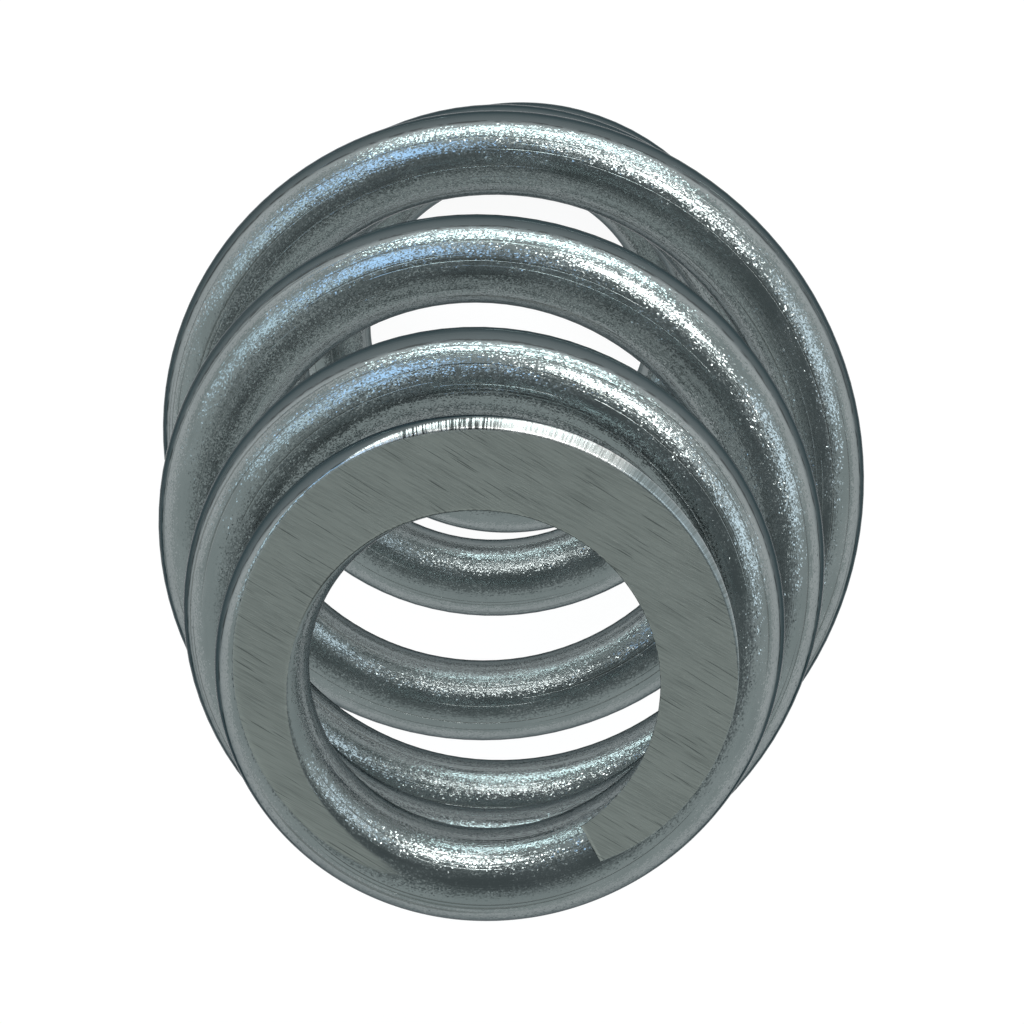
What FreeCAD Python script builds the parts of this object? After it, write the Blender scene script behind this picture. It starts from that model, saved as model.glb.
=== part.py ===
import FreeCAD, Part
import math
import os

# A seat spring: one round steel wire, wound left-handed into a barrel of open turns.
# The end turns lie close against their neighbours and are ground flat and square.
# The origin is the middle of the lower ground face, and the coil's axis is +Z.

# Driving sizes: millimetres, and turns of wire counted from either cut end.
# Diameters are those of the wire's centre line, and heights are those of the same line above
# the nearer ground face. Between two stated places the coil follows a smooth curve.
SIZES = [
    ("wire_diameter", 7.0, "diameter of the drawn wire"),
    ("free_length", 112.6, "height between the two ground faces, with no load"),
    ("total_turns", 6.57, "turns of wire from one cut end to the other"),
    ("cut_end_diameter", 28.6, "coil diameter where the wire is cut"),
    ("quarter_turn_diameter", 30.7, "coil diameter a quarter turn from the cut end"),
    ("half_turn_diameter", 34.1, "coil diameter at half a turn"),
    ("three_quarter_turn_diameter", 34.2, "coil diameter at three quarters of a turn"),
    ("one_turn_diameter", 32.5, "coil diameter at one turn, where the coil begins to open"),
    ("middle_diameter", 53.2, "coil diameter of the widest turn, at half height"),
    ("cut_end_thickness", 0.4, "thickness that grinding leaves at each cut end of the wire"),
    ("quarter_turn_height", -1.2, "height a quarter turn from the cut end"),
    ("half_turn_height", 1.55, "height at half a turn"),
    ("three_quarter_turn_height", 3.25, "height at three quarters of a turn"),
    ("one_turn_height", 4.4, "height at one turn"),
    ("lean", 0.061, "slope by which the open turns lean up towards the upper cut end"),
    ("bevel_diameter", 38.7, "diameter of the bevel's cone where it meets the ground face"),
    ("bevel_offset", 1.54, "how far the bevel's axis stands off the coil's axis"),
    ("bevel_turns", 0.164, "turns from a cut end to the side that the bevel's axis stands away from"),
]

# How far the coil has widened and risen on its way from one turn to the middle:
# turns from the cut end, share of the widening, share of the rise
OPENING = [
    (1.25, 0.250, 0.090),
    (1.5, 0.388, 0.190),
    (2.0, 0.503, 0.400),
    (2.5, 0.697, 0.646),
]

# Stations on the centre line in each turn: enough for a smooth curve
STATIONS_PER_TURN = 24

doc = FreeCAD.newDocument("seat_spring")

sizes = doc.addObject("Spreadsheet::Sheet", "Sizes")
for row, (alias, value, meaning) in enumerate(SIZES, start=1):
    sizes.set("A%d" % row, meaning)
    sizes.set("B%d" % row, str(value))
    sizes.setAlias("B%d" % row, alias)
doc.recompute()

wire_radius = sizes.wire_diameter / 2
half_turns = sizes.total_turns / 2


def mirrored(values, total):
    """A list from one end to the middle, carried on to the other end as its mirror image."""
    return values + [total - value for value in values[-2::-1]]


def smooth_curve(places, values):
    """The natural cubic spline through the values: a function of the place."""
    count = len(places)
    steps = [places[i + 1] - places[i] for i in range(count - 1)]
    rises = [(values[i + 1] - values[i]) / steps[i] for i in range(count - 1)]
    # bends at the inner places from three-term equations: forward sweep, then back
    share, bend = [0.0] * count, [0.0] * count
    for i in range(1, count - 1):
        pivot = 2 * (steps[i - 1] + steps[i]) - steps[i - 1] * share[i - 1]
        share[i] = steps[i] / pivot
        bend[i] = (6 * (rises[i] - rises[i - 1]) - steps[i - 1] * bend[i - 1]) / pivot
    for i in range(count - 2, 0, -1):
        bend[i] -= share[i] * bend[i + 1]

    def curve(place):
        i = max(k for k in range(count - 1) if k == 0 or places[k] <= place)
        before, after = places[i + 1] - place, place - places[i]
        straight = (values[i] * before + values[i + 1] * after) / steps[i]
        pull_before = bend[i] * before * (before ** 2 / steps[i] - steps[i])
        pull_after = bend[i + 1] * after * (after ** 2 / steps[i] - steps[i])
        return straight + (pull_before + pull_after) / 6

    return curve


diameters = [
    sizes.cut_end_diameter, sizes.quarter_turn_diameter, sizes.half_turn_diameter,
    sizes.three_quarter_turn_diameter, sizes.one_turn_diameter]
heights = [
    sizes.cut_end_thickness - wire_radius, sizes.quarter_turn_height, sizes.half_turn_height,
    sizes.three_quarter_turn_height, sizes.one_turn_height]
widening = sizes.middle_diameter - sizes.one_turn_diameter
rise = sizes.free_length / 2 - sizes.one_turn_height
diameters += [sizes.one_turn_diameter + widening * share for _, share, _ in OPENING]
heights += [sizes.one_turn_height + rise * share for _, _, share in OPENING]

places = mirrored([0, 0.25, 0.5, 0.75, 1] + [turns for turns, _, _ in OPENING] + [half_turns],
                  sizes.total_turns)
diameters += [sizes.middle_diameter]
coil_diameter = smooth_curve(places, diameters + diameters[-2::-1])
coil_height = smooth_curve(places, mirrored(heights + [sizes.free_length / 2], sizes.free_length))


def share_of_lean(turns):
    """Nothing on the closed end turns, growing smoothly to all of it one turn further in."""
    inward = min(max(min(turns, sizes.total_turns - turns) - 0.9, 0), 1)
    return inward ** 2 * (3 - 2 * inward)


def centre_point(turns):
    """Centre of the wire, by turns from the lower cut end. Left-hand: it climbs clockwise."""
    radius = coil_diameter(turns) / 2
    towards_upper_end = radius * math.cos(2 * math.pi * (sizes.total_turns - turns))
    height = coil_height(turns) + sizes.lean * towards_upper_end * share_of_lean(turns)
    angle = -2 * math.pi * turns
    return FreeCAD.Vector(radius * math.cos(angle), radius * math.sin(angle), height)


# Centre line of the wound wire
station_count = math.ceil(sizes.total_turns * STATIONS_PER_TURN)
stations = [sizes.total_turns * i / station_count for i in range(station_count + 1)]
centre_curve = Part.BSplineCurve()
centre_curve.interpolate([centre_point(turns) for turns in stations])
centre_line = doc.addObject("Part::Feature", "CentreLine")
centre_line.Shape = Part.Wire([centre_curve.toShape()])

# Round section of the wire, square to the centre line at its lower end
section = doc.addObject("Part::Circle", "WireSection")
section.setExpression("Radius", "Sizes.wire_diameter / 2")
start = centre_curve.value(centre_curve.FirstParameter)
direction = centre_curve.tangent(centre_curve.FirstParameter)[0]
section.Placement = FreeCAD.Placement(start, FreeCAD.Rotation(FreeCAD.Vector(0, 0, 1), direction))

# The wire as it leaves the coiling machine, before grinding
wound_wire = doc.addObject("Part::Sweep", "WoundWire")
wound_wire.Sections = [section]
wound_wire.Spine = (centre_line, ["Edge1"])
wound_wire.Solid = True
wound_wire.Frenet = True


def grinding_cone(name, turns, height, rotation):
    """What grinding leaves at one end: below the end plane and inside a cone at 45 degrees.

    The cone stands off the coil's axis, so that it only bevels the side that bulges out.
    `turns` is the expression for the turns of wire between the lower cut end and that side.
    """
    cone = doc.addObject("Part::Cone", name)
    cone.setExpression("Radius1", "Sizes.bevel_diameter / 2")
    cone.setExpression("Radius2", "Sizes.bevel_diameter / 2 + Sizes.free_length")
    cone.setExpression("Height", "Sizes.free_length")
    cone.Placement = FreeCAD.Placement(FreeCAD.Vector(0, 0, 0), rotation)
    cone.setExpression("Placement.Base.x", "-Sizes.bevel_offset * cos(360 deg * (%s))" % turns)
    cone.setExpression("Placement.Base.y", "Sizes.bevel_offset * sin(360 deg * (%s))" % turns)
    cone.setExpression("Placement.Base.z", height)
    return cone


upright = FreeCAD.Rotation(FreeCAD.Vector(1, 0, 0), 0)
upside_down = FreeCAD.Rotation(FreeCAD.Vector(1, 0, 0), 180)
envelope = doc.addObject("Part::Common", "GroundEnvelope")
envelope.Base = grinding_cone("LowerGrinding", "Sizes.bevel_turns", "0", upright)
envelope.Tool = grinding_cone(
    "UpperGrinding", "Sizes.total_turns - Sizes.bevel_turns", "Sizes.free_length", upside_down)

spring = doc.addObject("Part::Common", "SeatSpring")
spring.Base = wound_wire
spring.Tool = envelope
spring.Label = "seat_spring"

doc.recompute()

for feature in doc.Objects:
    if "Invalid" in feature.State or "Error" in feature.State:
        raise RuntimeError("%s did not build: %s" % (feature.Name, feature.State))

if spring.Shape.isNull() or not spring.Shape.isValid() or len(spring.Shape.Solids) != 1:
    raise RuntimeError("the spring is not one valid solid")

drawn_volume = math.pi * wire_radius ** 2 * centre_curve.length()
print("volume before grinding %.1f, section times length %.1f" % (wound_wire.Shape.Volume, drawn_volume))
print("volume after grinding %.1f" % spring.Shape.Volume)

os.makedirs("parts", exist_ok=True)
spring.Shape.exportStep("parts/%s.step" % spring.Label)
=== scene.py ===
import math

import bpy
import numpy as np
from mathutils import Matrix, Vector


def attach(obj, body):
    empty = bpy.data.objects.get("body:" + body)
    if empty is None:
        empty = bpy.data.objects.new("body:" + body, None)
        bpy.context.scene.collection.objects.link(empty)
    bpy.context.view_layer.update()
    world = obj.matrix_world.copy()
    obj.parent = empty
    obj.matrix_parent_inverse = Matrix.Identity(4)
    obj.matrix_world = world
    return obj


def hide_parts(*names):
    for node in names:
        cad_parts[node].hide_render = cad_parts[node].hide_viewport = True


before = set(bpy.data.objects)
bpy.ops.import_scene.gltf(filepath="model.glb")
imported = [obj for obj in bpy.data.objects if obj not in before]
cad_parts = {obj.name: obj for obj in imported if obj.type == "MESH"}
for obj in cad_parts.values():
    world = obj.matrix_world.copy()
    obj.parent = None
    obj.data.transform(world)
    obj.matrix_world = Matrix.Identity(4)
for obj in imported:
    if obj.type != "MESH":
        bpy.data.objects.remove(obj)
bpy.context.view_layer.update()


# The spring: one round steel wire, drawn, wound left-handed into a barrel, ground flat at both ends and zinc
# plated. Its end turns lie closed, and each ground end is bevelled on the side that bulges out.
# Sizes are in metres, and its form is given in turns of wire from either cut end to the middle.
WIRE_RADIUS = 0.0035
FREE_LENGTH = 0.1126
TOTAL_TURNS = 6.57
ONE_TURN_DIAMETER = 0.0325
MIDDLE_DIAMETER = 0.0532
CUT_END_THICKNESS = 0.0004
ONE_TURN_HEIGHT = 0.0044
LEAN = 0.061
LEAN_START = 0.9
BEVEL_DIAMETER = 0.0387
BEVEL_OFFSET = 0.00154
BEVEL_TURNS = 0.164
# turns, coil diameter, height of the wire's centre above the ground face
CLOSED_TURNS = [
    (0.0, 0.0286, CUT_END_THICKNESS - WIRE_RADIUS),
    (0.25, 0.0307, -0.0012),
    (0.5, 0.0341, 0.00155),
    (0.75, 0.0342, 0.00325),
    (1.0, ONE_TURN_DIAMETER, ONE_TURN_HEIGHT),
]
# turns, share of the widening to the middle, share of the rise to the middle
OPEN_TURNS = [(1.25, 0.250, 0.090), (1.5, 0.388, 0.190), (2.0, 0.503, 0.400), (2.5, 0.697, 0.646)]
HALF_TURNS = TOTAL_TURNS / 2


def smooth_curve(places, values):
    """The natural cubic spline through the values: a function of an array of places."""
    places, values = np.array(places), np.array(values)
    steps = np.diff(places)
    rises = np.diff(values) / steps
    terms = np.eye(len(places))
    right = np.zeros(len(places))
    for i in range(1, len(places) - 1):
        terms[i, i - 1:i + 2] = steps[i - 1], 2 * (steps[i - 1] + steps[i]), steps[i]
        right[i] = 6 * (rises[i] - rises[i - 1])
    bend = np.linalg.solve(terms, right)

    def curve(place):
        i = np.clip(np.searchsorted(places, place) - 1, 0, len(places) - 2)
        before, after, step = places[i + 1] - place, place - places[i], steps[i]
        straight = (values[i] * before + values[i + 1] * after) / step
        pull = bend[i] * before * (before ** 2 / step - step)
        return straight + (pull + bend[i + 1] * after * (after ** 2 / step - step)) / 6

    return curve


widening = MIDDLE_DIAMETER - ONE_TURN_DIAMETER
rise = FREE_LENGTH / 2 - ONE_TURN_HEIGHT
form = CLOSED_TURNS + [
    (turns, ONE_TURN_DIAMETER + widening * wider, ONE_TURN_HEIGHT + rise * higher)
    for turns, wider, higher in OPEN_TURNS]
form.append((HALF_TURNS, MIDDLE_DIAMETER, FREE_LENGTH / 2))
# the upper half is the lower one's mirror image
form += [(TOTAL_TURNS - turns, diameter, FREE_LENGTH - height) for turns, diameter, height in form[-2::-1]]
places, diameters, heights = zip(*form)
coil_diameter = smooth_curve(places, diameters)
coil_height = smooth_curve(places, heights)


def centre_line(turns):
    """Centre of the wire at each of the given turns from the lower cut end."""
    radius = coil_diameter(turns) / 2
    inward = np.clip(np.minimum(turns, TOTAL_TURNS - turns) - LEAN_START, 0, 1)
    share_of_lean = inward ** 2 * (3 - 2 * inward)
    towards_upper_end = radius * np.cos(2 * math.pi * (TOTAL_TURNS - turns))
    height = coil_height(turns) + LEAN * towards_upper_end * share_of_lean
    angle = -2 * math.pi * turns
    return np.stack([radius * np.cos(angle), radius * np.sin(angle), height], axis=-1)


# The wire's skin is made of rings, which lie closest together over the upper ground end
SPACING_UPPER = 0.00025
SPACING_LOWER = 0.00045
SPACING_OPEN = 0.0014
GROUND_TURNS = 1.2
COLUMNS = 64
OUTLINE_STEPS = 720
EDGE_SOFTNESS = 0.00022
CORNER_CROWDING = 1.1
CORNER_SPREAD = 4
SMALL_TURN = 1e-5
FAR = 1.0


def ring_turns():
    """Turns at which the wire gets a ring of skin, and the length of wire up to each."""
    fine = np.linspace(0, TOTAL_TURNS, 20001)
    points = centre_line(fine)
    length = np.concatenate([[0], np.cumsum(np.linalg.norm(np.diff(points, axis=0), axis=1))])
    spacing = np.full(len(fine), SPACING_OPEN)
    spacing[fine < GROUND_TURNS] = SPACING_LOWER
    spacing[fine > TOTAL_TURNS - GROUND_TURNS] = SPACING_UPPER
    rings = np.concatenate([[0], np.cumsum(np.diff(length) / spacing[1:])])
    count = int(round(rings[-1]))
    turns = np.interp(np.linspace(0, rings[-1], count + 1), rings, fine)
    return turns, np.interp(turns, fine, length)


def wire_directions(turns):
    """The wire's centre, the directions across it towards the nearer end and sideways, and how squarely the
    first of these meets the end plane."""
    centre = centre_line(turns)
    ahead = centre_line(np.minimum(turns + SMALL_TURN, TOTAL_TURNS))
    behind = centre_line(np.maximum(turns - SMALL_TURN, 0))
    along = ahead - behind
    along /= np.linalg.norm(along, axis=1)[:, None]
    to_end = np.zeros_like(centre)
    to_end[:, 2] = np.where(turns > HALF_TURNS, 1.0, -1.0)
    endward = to_end - (to_end * along).sum(1)[:, None] * along
    squareness = np.linalg.norm(endward, axis=1)
    endward /= squareness[:, None]
    return centre, endward, np.cross(along, endward), squareness


def distance_to_bevel(turns, middle, rays, first_guess):
    """How far each ray runs to the bevel's cone, which stands off the coil's axis."""
    upper = (turns > HALF_TURNS)[:, None]
    angle = -2 * math.pi * np.where(upper, TOTAL_TURNS - BEVEL_TURNS, BEVEL_TURNS)
    axis_x, axis_y = -BEVEL_OFFSET * np.cos(angle), -BEVEL_OFFSET * np.sin(angle)
    endward_z = np.where(upper, 1.0, -1.0) * rays[..., 2]
    distance = first_guess.copy()
    for _ in range(5):
        point = middle[:, None, :] + distance[..., None] * rays
        dx, dy = point[..., 0] - axis_x, point[..., 1] - axis_y
        across = np.hypot(dx, dy)
        depth = np.where(upper, FREE_LENGTH - point[..., 2], point[..., 2])
        beyond = across - BEVEL_DIAMETER / 2 - depth
        rate = (dx * rays[..., 0] + dy * rays[..., 1]) / across + endward_z
        distance = np.where(rate > 0.1, distance - beyond / np.maximum(rate, 0.1), FAR)
        distance = np.clip(distance, 0, FAR)
    return distance


def soft_min(a, b):
    """The lesser of two distances, rounded over where they are nearly the same."""
    near = np.maximum(EDGE_SOFTNESS - np.abs(a - b), 0) / EDGE_SOFTNESS
    return np.minimum(a, b) - near ** 2 * EDGE_SOFTNESS / 4


def ground_outlines(turns, centre, endward, sideways, squareness):
    """What grinding leaves of the wire's section: how far its outline lies endward and sideways of the
    centre, and how surely it is on the ground face and on the bevel, from nothing to one."""
    to_plane = np.where(turns > HALF_TURNS, FREE_LENGTH - centre[:, 2], centre[:, 2]) / squareness
    shift = ((np.minimum(to_plane, WIRE_RADIUS) - WIRE_RADIUS) / 2)[:, None]
    angle = np.linspace(0, 2 * math.pi, OUTLINE_STEPS, endpoint=False) + math.pi
    cosine, sine = np.cos(angle)[None, :], np.sin(angle)[None, :]
    rays = cosine[..., None] * endward[:, None, :] + sine[..., None] * sideways[:, None, :]
    to_round = -shift * cosine + np.sqrt(WIRE_RADIUS ** 2 - (shift * sine) ** 2)
    to_face = np.where(cosine > 1e-3, (to_plane[:, None] - shift) / np.maximum(cosine, 1e-3), FAR)
    to_bevel = distance_to_bevel(turns, centre + shift * endward, rays, to_round)
    on_face = np.clip((np.minimum(to_round, to_bevel) - to_face) / EDGE_SOFTNESS + 0.4, 0, 1)
    on_bevel = np.clip((np.minimum(to_round, to_face) - to_bevel) / EDGE_SOFTNESS + 0.5, 0, 1)
    reach = soft_min(soft_min(to_round, to_face), to_bevel)
    return reach * cosine + shift, reach * sine, on_face, on_bevel


def way_round(endward_by, sideways_by):
    """Way gone round each outline, counted faster where it turns sharply, so that columns crowd there."""
    du = np.roll(endward_by, -1, axis=1) - endward_by
    dv = np.roll(sideways_by, -1, axis=1) - sideways_by
    length = np.hypot(du, dv)
    heading = np.arctan2(dv, du)
    turn = np.abs((heading - np.roll(heading, 1, axis=1) + math.pi) % (2 * math.pi) - math.pi)
    spread = np.ones(2 * CORNER_SPREAD + 1) / (2 * CORNER_SPREAD + 1)
    turn = np.stack([
        np.convolve(np.concatenate([row[-CORNER_SPREAD:], row, row[:CORNER_SPREAD]]), spread, "valid")
        for row in turn])
    weight = length / length.sum(1)[:, None] + CORNER_CROWDING * turn / (2 * math.pi)
    return np.concatenate([np.zeros((len(weight), 1)), np.cumsum(weight, axis=1)], axis=1)


def wire_rings(turns, along):
    """Skin points ring by ring, the place of each on the straight drawn wire, and its kind of skin."""
    centre, endward, sideways, squareness = wire_directions(turns)
    outline_u, outline_v, on_face, on_bevel = ground_outlines(turns, centre, endward, sideways, squareness)
    way = way_round(outline_u, outline_v)
    wanted = np.linspace(0, 1, COLUMNS, endpoint=False)
    rings, drawn, skin = (np.empty((len(turns), COLUMNS, 3)) for _ in range(3))
    for i, turn in enumerate(turns):
        upper = turn > HALF_TURNS
        place = np.interp(wanted * way[i, -1], way[i], np.arange(OUTLINE_STEPS + 1))
        low = np.floor(place).astype(int) % OUTLINE_STEPS
        high = (low + 1) % OUTLINE_STEPS
        part = place - np.floor(place)
        u = outline_u[i, low] * (1 - part) + outline_u[i, high] * part
        v = outline_v[i, low] * (1 - part) + outline_v[i, high] * part
        rings[i] = centre[i] + u[:, None] * endward[i] + v[:, None] * sideways[i]
        up = 1 if upper else -1
        drawn[i] = np.stack([np.full(COLUMNS, along[i]), up * u, up * v], -1)
        from_cut_end = np.full(COLUMNS, TOTAL_TURNS - turn if upper else turn)
        skin[i] = np.stack([on_face[i, low], on_bevel[i, low], from_cut_end], -1)
        if not upper:
            # the lower half counts its columns from the opposite side
            for values in (rings, drawn, skin):
                values[i] = np.roll(values[i], COLUMNS // 2, axis=0)
    return rings, drawn, skin


def wire_mesh(name):
    """The wire's skin: quads between the rings, and a fan over each cut end."""
    turns, along = ring_turns()
    rings, drawn, skin = wire_rings(turns, along)
    ring = np.arange(len(turns) - 1)[:, None] * COLUMNS
    j = np.arange(COLUMNS)[None, :]
    k = (j + 1) % COLUMNS
    quads = np.stack([ring + j, ring + k, ring + COLUMNS + k, ring + COLUMNS + j], -1)
    faces = quads.reshape(-1, 4).tolist()
    cap, last = len(turns) * COLUMNS, (len(turns) - 1) * COLUMNS
    for c in range(COLUMNS):
        d = (c + 1) % COLUMNS
        faces.append((cap, d, c))
        faces.append((cap + 1, last + c, last + d))
    points = np.concatenate([rings.reshape(-1, 3), rings[[0, -1]].mean(axis=1)])
    mesh = bpy.data.meshes.new(name)
    mesh.from_pydata(points.tolist(), [], faces)
    caps = {"drawn": drawn[[0, -1]].mean(axis=1), "skin": np.zeros((2, 3))}
    for attribute, values in (("drawn", drawn), ("skin", skin)):
        stored = mesh.attributes.new(attribute, "FLOAT_VECTOR", "POINT")
        values = np.concatenate([values.reshape(-1, 3), caps[attribute]])
        stored.data.foreach_set("vector", values.astype(np.float32).ravel())
    mesh.shade_smooth()
    mesh.validate()
    return mesh


# The wire's finish. The plating has a bright, frosty grain, is rolled smooth on the coil's outer side, and
# shows lines from the drawing die. Its outer side carries a painted dark reflection and its inner side
# painted shade.
# The faces carry straight scratches, and the bevel is cross-cut ground steel with a painted highlight.
ZINC = (0.262, 0.292, 0.294, 1.0)
ZINC_PALE = (0.320, 0.350, 0.352, 1.0)
ZINC_PAINTED_SHADE = (0.122, 0.145, 0.150, 1.0)
ZINC_RIM = (0.27, 0.29, 0.30, 1.0)
ZINC_ROUGHNESS = 0.17
GROUND_STEEL = (0.455, 0.480, 0.448, 1.0)
GROUND_DARK = (0.150, 0.165, 0.158, 1.0)
GROUND_ROUGHNESS = 0.42
BEVEL_STEEL_AND_HIGHLIGHT = (0.66, 0.66, 0.65, 1.0)
BEVEL_GREY = (0.30, 0.34, 0.35, 1.0)
BEVEL_DARK = (0.05, 0.055, 0.055, 1.0)
BEVEL_ROUGHNESS = 0.3
# the rolled side begins where the skin faces this much straight away from the coil's axis
ROLLED_SIDE = 0.84
ROLL_MARK_WIDTH = 0.022
ROLL_MARK_LENGTH = 0.0012
GRAIN_SIZE = 0.000095
GRAIN_TILT = 0.54
CLOUD_LENGTH = 0.005
CLOUD_WIDTH = 0.0014
DIE_LINE_LENGTH = 0.014
DIE_LINE_WIDTH = 0.00009
GROOVE_LENGTH = 0.03
GROOVE_WIDTH = 0.00022
LINE_HEIGHT = 0.00006
SCRATCH_LENGTH = 0.0035
SCRATCH_WIDTH = 0.00007
SCRATCH_HEIGHT = 0.000025
SCRATCH_ANGLE = 5.0
DEEP_SCRATCH_LENGTH = 0.0045
DEEP_SCRATCH_WIDTH = 0.00014
PATCH_LENGTH = 0.006
PATCH_WIDTH = 0.0025
CUT_WIDTH = 0.00014
CUT_LENGTH = 0.004
CUT_HEIGHT = 0.00003


class Nodes:
    """The node tree of a material or of the room, built one node at a time."""

    def __init__(self, owner):
        owner.use_nodes = True
        self.tree = owner.node_tree
        self.tree.nodes.clear()

    def add(self, kind, inputs=None, **settings):
        node = self.tree.nodes.new(kind)
        for key, value in settings.items():
            setattr(node, key, value)
        for key, value in (inputs or {}).items():
            if isinstance(value, bpy.types.NodeSocket):
                self.tree.links.new(value, node.inputs[key])
            else:
                node.inputs[key].default_value = value
        return node

    def math(self, operation, first, second=0.0):
        return self.add("ShaderNodeMath", {0: first, 1: second}, operation=operation).outputs[0]

    def vector(self, operation, first, second):
        return self.add("ShaderNodeVectorMath", {0: first, 1: second}, operation=operation).outputs[0]

    def between(self, value, low, high, to_low=0.0, to_high=1.0):
        """The value, taken from low..high to to_low..to_high with soft ends."""
        node = self.add("ShaderNodeMapRange", {"Value": value, "From Min": low, "From Max": high,
                                               "To Min": to_low, "To Max": to_high},
                        interpolation_type="SMOOTHSTEP")
        return node.outputs["Result"]

    def mix(self, share, first, second):
        """The first colour, with this share of the second."""
        return self.add("ShaderNodeMix", {0: share, 6: first, 7: second}, data_type="RGBA").outputs[2]

    def laid_over(self, share, under, top):
        """The skin on top where its share is one, and the one under it elsewhere."""
        return self.add("ShaderNodeMixShader", {0: share, 1: under, 2: top}).outputs[0]

    def stretched(self, place, sizes, turned=0.0):
        """Place divided by a size in each direction, after turning it about Z."""
        if turned:
            rotation = (0, 0, math.radians(-turned))
            place = self.add("ShaderNodeMapping", {"Vector": place, "Rotation": rotation}).outputs[0]
        return self.vector("MULTIPLY", place, [1 / size for size in sizes])

    def noise(self, place, sizes, detail, roughness=0.5, turned=0.0):
        """Noise with blotches of the given sizes along X, Y and Z."""
        node = self.add("ShaderNodeTexNoise", {"Vector": self.stretched(place, sizes, turned), "Scale": 1.0,
                                               "Detail": detail, "Roughness": roughness})
        return node.outputs["Fac"]

    def bump(self, height, distance, **inputs):
        """The normal of a relief that is this deep."""
        inputs = {"Height": height, "Strength": 1.0, "Distance": distance, **inputs}
        return self.add("ShaderNodeBump", inputs).outputs[0]

    def metal(self, colour, roughness, normal, rim=(1, 1, 1, 1)):
        inputs = {"Base Color": colour, "Metallic": 1.0, "Roughness": roughness, "Specular Tint": rim,
                  "Normal": normal}
        return self.add("ShaderNodeBsdfPrincipled", inputs).outputs[0]


def frosted_normal(n, wire_place, frosted):
    """The skin's normal, with each grain of the plating tilted its own way."""
    cells = n.stretched(wire_place, (GRAIN_SIZE * 1.3, GRAIN_SIZE, GRAIN_SIZE))
    grain = n.add("ShaderNodeTexVoronoi", {"Vector": cells, "Scale": 1.0}).outputs["Color"]
    tilt = n.vector("SUBTRACT", grain, (0.5, 0.5, 0.5))
    steepness = n.add("ShaderNodeVectorMath", {0: tilt}, operation="LENGTH").outputs["Value"]
    steepness = n.math("MULTIPLY", n.math("MULTIPLY", steepness, GRAIN_TILT), frosted)
    tilt = n.add("ShaderNodeVectorMath", {0: tilt, "Scale": steepness}, operation="SCALE").outputs[0]
    tilted = n.vector("ADD", n.add("ShaderNodeNewGeometry").outputs["Normal"], tilt)
    return n.add("ShaderNodeVectorMath", {0: tilted}, operation="NORMALIZE").outputs[0]


def round_skin(n, wire_place, inward):
    """Plated skin on the round of the wire."""
    outward = n.math("MULTIPLY", inward, -1 / WIRE_RADIUS)
    clouds = n.noise(wire_place, (CLOUD_LENGTH, CLOUD_WIDTH, CLOUD_WIDTH), 2.0, 0.6)
    frosted = n.between(outward, ROLLED_SIDE - 0.03, ROLLED_SIDE + 0.03, 1.0, 0.10)
    frosted = n.math("MULTIPLY", frosted, n.between(outward, -0.95, -0.60, 0.55, 1.0))
    frosted = n.math("MULTIPLY", frosted, n.between(clouds, 0.30, 0.60, 0.45, 1.0))
    die_lines = n.noise(wire_place, (DIE_LINE_LENGTH, DIE_LINE_WIDTH, DIE_LINE_WIDTH), 1.0)
    grooves = n.noise(wire_place, (GROOVE_LENGTH, GROOVE_WIDTH, GROOVE_WIDTH), 0.0)
    grooves = n.between(grooves, 0.70, 0.76)
    relief = n.math("SUBTRACT", n.math("MULTIPLY", die_lines, 0.16), n.math("MULTIPLY", grooves, 0.35))
    # the mark that the edge of the coiling roll left, broken along its length
    from_mark = n.math("ABSOLUTE", n.math("SUBTRACT", outward, ROLLED_SIDE + 0.035))
    breaks = n.noise(wire_place, (ROLL_MARK_LENGTH, 0.0002, 0.0002), 2.0, 0.7)
    roll_mark = n.between(from_mark, ROLL_MARK_WIDTH, 0.008)
    roll_mark = n.math("MULTIPLY", roll_mark, n.between(breaks, 0.42, 0.56))
    colour = n.mix(n.between(clouds, 0.35, 0.65, 0.0, 0.6), ZINC, ZINC_PALE)
    # painted dark reflection: the coil's outer side is darkened, standing for the dark room that it faces
    colour = n.mix(n.between(outward, ROLLED_SIDE - 0.02, ROLLED_SIDE + 0.06), colour, ZINC_PAINTED_SHADE)
    # painted shade: the coil's inner side is darkened, standing for the light that the coil blocks there
    colour = n.mix(n.between(outward, -0.45, -0.90, 0.0, 0.40), colour, ZINC_PAINTED_SHADE)
    colour = n.mix(n.math("MULTIPLY", grooves, 0.6), colour, GROUND_DARK)
    colour = n.mix(n.math("MULTIPLY", roll_mark, 0.75), colour, BEVEL_DARK)
    roughness = n.between(clouds, 0.3, 0.7, ZINC_ROUGHNESS - 0.03, ZINC_ROUGHNESS + 0.05)
    normal = n.bump(relief, LINE_HEIGHT, Normal=frosted_normal(n, wire_place, frosted))
    return n.metal(colour, roughness, normal, ZINC_RIM)


def bevel_skin(n, wire_place, turns):
    """The bevel: ground steel, cut across by the grinder, grey towards the cut end and bright beyond it with
    a painted highlight.
    """
    cuts = n.noise(wire_place, (CUT_WIDTH, CUT_LENGTH, CUT_LENGTH), 2.0, 0.7)
    dark_cuts = n.math("MULTIPLY", n.between(turns, 0.400, 0.425), n.between(turns, 0.485, 0.470))
    dark_cuts = n.math("MULTIPLY", n.between(cuts, 0.53, 0.46), dark_cuts)
    # painted highlight over bare ground steel: the bevel is bright from about a third of a turn from the cut
    # end on, grey before
    colour = n.mix(n.between(turns, 0.325, 0.345), BEVEL_GREY, BEVEL_STEEL_AND_HIGHLIGHT)
    colour = n.mix(n.math("MULTIPLY", n.between(cuts, 0.42, 0.66), 0.55), colour, GROUND_DARK)
    colour = n.mix(dark_cuts, colour, BEVEL_DARK)
    return n.metal(colour, BEVEL_ROUGHNESS, n.bump(cuts, CUT_HEIGHT))


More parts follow.
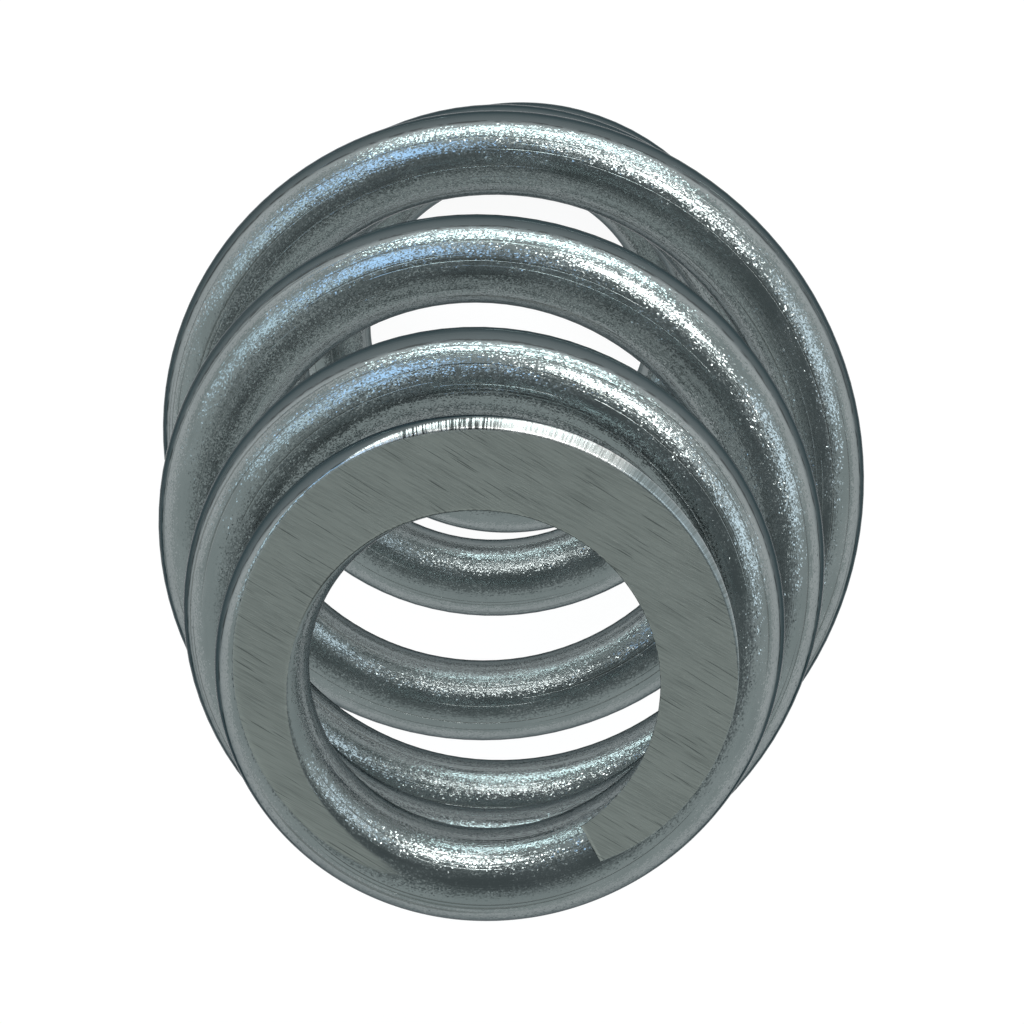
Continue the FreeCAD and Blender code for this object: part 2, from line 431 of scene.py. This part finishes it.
def ground_skin(n, place, on_face, inward, turns):
    """The ground faces, scratched in one direction, with a dark line along the inner edge near each cut end,
    partly a burr and partly painted shade.
    """
    scratches = n.noise(place, (SCRATCH_LENGTH, SCRATCH_WIDTH, 1.0), 2.0, 0.7, SCRATCH_ANGLE)
    crossing = n.noise(place, (SCRATCH_LENGTH / 2, SCRATCH_WIDTH, 1.0), 0.0, turned=SCRATCH_ANGLE - 9)
    deep = n.noise(place, (DEEP_SCRATCH_LENGTH, DEEP_SCRATCH_WIDTH, 1.0), 1.0, turned=SCRATCH_ANGLE - 3)
    deep = n.between(deep, 0.64, 0.72)
    patches = n.noise(place, (PATCH_LENGTH, PATCH_WIDTH, 1.0), 2.0, turned=SCRATCH_ANGLE)
    relief = n.math("ADD", n.math("MULTIPLY", scratches, 0.7), n.math("MULTIPLY", crossing, 0.3))
    shade = n.math("ADD", n.math("MULTIPLY", scratches, 0.75), n.math("MULTIPLY", patches, 0.25))
    colour = n.mix(n.between(shade, 0.34, 0.58, 0.62, 1.0), GROUND_DARK, GROUND_STEEL)
    colour = n.mix(n.math("MULTIPLY", deep, 0.75), colour, GROUND_DARK)
    # painted shade with a burr: the face darkens along its inner edge within about six tenths of a turn of
    # each cut end
    edge = n.math("MULTIPLY", n.between(on_face, 0.98, 0.70), n.between(inward, 0.0, 0.0005))
    edge = n.math("MULTIPLY", edge, n.between(turns, 0.66, 0.56))
    colour = n.mix(edge, colour, BEVEL_DARK)
    return n.metal(colour, GROUND_ROUGHNESS, n.bump(relief, SCRATCH_HEIGHT))


def zinc_plated_steel():
    """The whole wire's material: its round skin, with the bevel and the ground faces laid over it."""
    material = bpy.data.materials.new("zinc_plated_steel")
    n = Nodes(material)
    wire_place = n.add("ShaderNodeAttribute", attribute_name="drawn").outputs["Vector"]
    inward = n.add("ShaderNodeSeparateXYZ", {0: wire_place}).outputs["Z"]
    kind = n.add("ShaderNodeAttribute", attribute_name="skin").outputs["Vector"]
    on_face, on_bevel, turns = n.add("ShaderNodeSeparateXYZ", {0: kind}).outputs
    place = n.add("ShaderNodeNewGeometry").outputs["Position"]
    plated = round_skin(n, wire_place, inward)
    bevel = bevel_skin(n, wire_place, turns)
    ground = ground_skin(n, place, on_face, inward, turns)
    skin = n.laid_over(n.between(on_bevel, 0.35, 0.65), plated, bevel)
    skin = n.laid_over(n.between(on_face, 0.35, 0.65), skin, ground)
    n.add("ShaderNodeOutputMaterial", {"Surface": skin})
    return material


spring = bpy.data.objects.new("ground_wire", wire_mesh("ground_wire"))
spring.data.materials.append(zinc_plated_steel())
bpy.context.scene.collection.objects.link(spring)
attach(spring, "root")
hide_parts("seat_spring")


# The table: a plain white board under the spring, with a faint shadow
BOARD_SIZE = 30.0
BOARD_WHITE = (0.86, 0.86, 0.86, 1)
BACKGROUND_SHARE = 0.85
BACKGROUND_STRENGTH = 1.09


def white_board():
    """White paint, which the camera and the metal see as a plain white background."""
    material = bpy.data.materials.new("white_board")
    n = Nodes(material)
    paint = n.add("ShaderNodeBsdfDiffuse", {"Color": BOARD_WHITE}).outputs[0]
    plain = n.add("ShaderNodeEmission", {"Color": (1, 1, 1, 1), "Strength": BACKGROUND_STRENGTH}).outputs[0]
    path = n.add("ShaderNodeLightPath").outputs
    seen = n.math("MAXIMUM", path["Is Camera Ray"], path["Is Glossy Ray"])
    seen = n.math("MAXIMUM", seen, path["Is Transmission Ray"])
    seen = n.math("MULTIPLY", seen, BACKGROUND_SHARE)
    n.add("ShaderNodeOutputMaterial", {"Surface": n.laid_over(seen, paint, plain)})
    return material


edge = BOARD_SIZE / 2
corners = [(-edge, -edge, 0), (edge, -edge, 0), (edge, edge, 0), (-edge, edge, 0)]
board_mesh = bpy.data.meshes.new("board")
board_mesh.from_pydata(corners, [], [(0, 1, 2, 3)])
board_mesh.materials.append(white_board())
board = bpy.data.objects.new("board", board_mesh)
bpy.context.scene.collection.objects.link(board)


# The camera looks down the bore from a little off the axis, through a long lens
CAMERA_PLACE = Vector((0.06527, -0.10067, 0.47847))
CAMERA_TARGET = Vector((0.00652, -0.01142, 0.1126))
CAMERA_ROLL = -178.581
LENS = 184.46

camera_data = bpy.data.cameras.new("camera")
camera_data.lens = LENS
camera_data.sensor_width = 36.0
camera_data.clip_start = 0.01
camera = bpy.data.objects.new("camera", camera_data)
gaze = (CAMERA_TARGET - CAMERA_PLACE).to_track_quat("-Z", "Y").to_matrix()
camera.matrix_world = (Matrix.Translation(CAMERA_PLACE)
                       @ (gaze @ Matrix.Rotation(math.radians(CAMERA_ROLL), 3, "Z")).to_4x4())
bpy.context.scene.collection.objects.link(camera)
bpy.context.scene.camera = camera


# Light: softboxes at one metre from the upper end, where the camera's right, up and back directions put them
def softbox(name, direction, width, height, radiance, colour):
    view = camera.matrix_world.to_3x3()
    aim = (view @ Vector(direction)).normalized()
    light = bpy.data.lights.new(name, "AREA")
    light.shape = "RECTANGLE"
    light.size = width
    light.size_y = height
    light.energy = radiance * math.pi * width * height
    light.color = colour
    lamp = bpy.data.objects.new(name, light)
    lamp.matrix_world = (Matrix.Translation(Vector((0, 0, FREE_LENGTH)) + aim)
                         @ aim.to_track_quat("Z", "Y").to_matrix().to_4x4())
    bpy.context.scene.collection.objects.link(lamp)


softbox("window", (-0.08, 0.94, 0.33), 1.1, 0.16, 9.0, (0.84, 1.0, 1.0))
softbox("lamp", (0.20, 0.60, 0.78), 0.52, 0.24, 9.0, (1.0, 0.99, 0.97))
softbox("sky", (-0.60, 0.38, 0.70), 0.28, 0.45, 2.9, (0.36, 0.62, 1.0))
softbox("sky_low", (-0.84, 0.08, 0.54), 0.20, 0.50, 1.7, (0.62, 0.84, 1.0))
softbox("side", (0.76, 0.20, 0.61), 0.25, 0.45, 2.2, (0.75, 0.88, 1.0))


# The room: pale grey walls, and a darker patch where the camera and its user stand
ROOM = (0.62, 0.675, 0.67, 1)
ROOM_BY_CAMERA = (0.16, 0.185, 0.19, 1)
DARK_PATCH_CENTRE = Vector((0, -0.25, 1))
DARK_PATCH_EDGE = math.radians(50)
DARK_PATCH_CORE = math.radians(10)

room = bpy.data.worlds.new("room")
bpy.context.scene.world = room
walls = Nodes(room)
direction = walls.add("ShaderNodeTexCoord").outputs["Generated"]
patch_direction = (camera.matrix_world.to_3x3() @ DARK_PATCH_CENTRE).normalized()
nearness = walls.add("ShaderNodeVectorMath", {0: direction, 1: patch_direction}, operation="DOT_PRODUCT")
nearness = nearness.outputs["Value"]
in_patch = walls.between(nearness, math.cos(DARK_PATCH_EDGE), math.cos(DARK_PATCH_CORE))
wall_light = walls.add("ShaderNodeBackground", {
    "Color": walls.mix(in_patch, ROOM, ROOM_BY_CAMERA), "Strength": 1.0})
walls.add("ShaderNodeOutputWorld", {"Surface": wall_light.outputs[0]})

bpy.context.scene.view_settings.view_transform = "Standard"
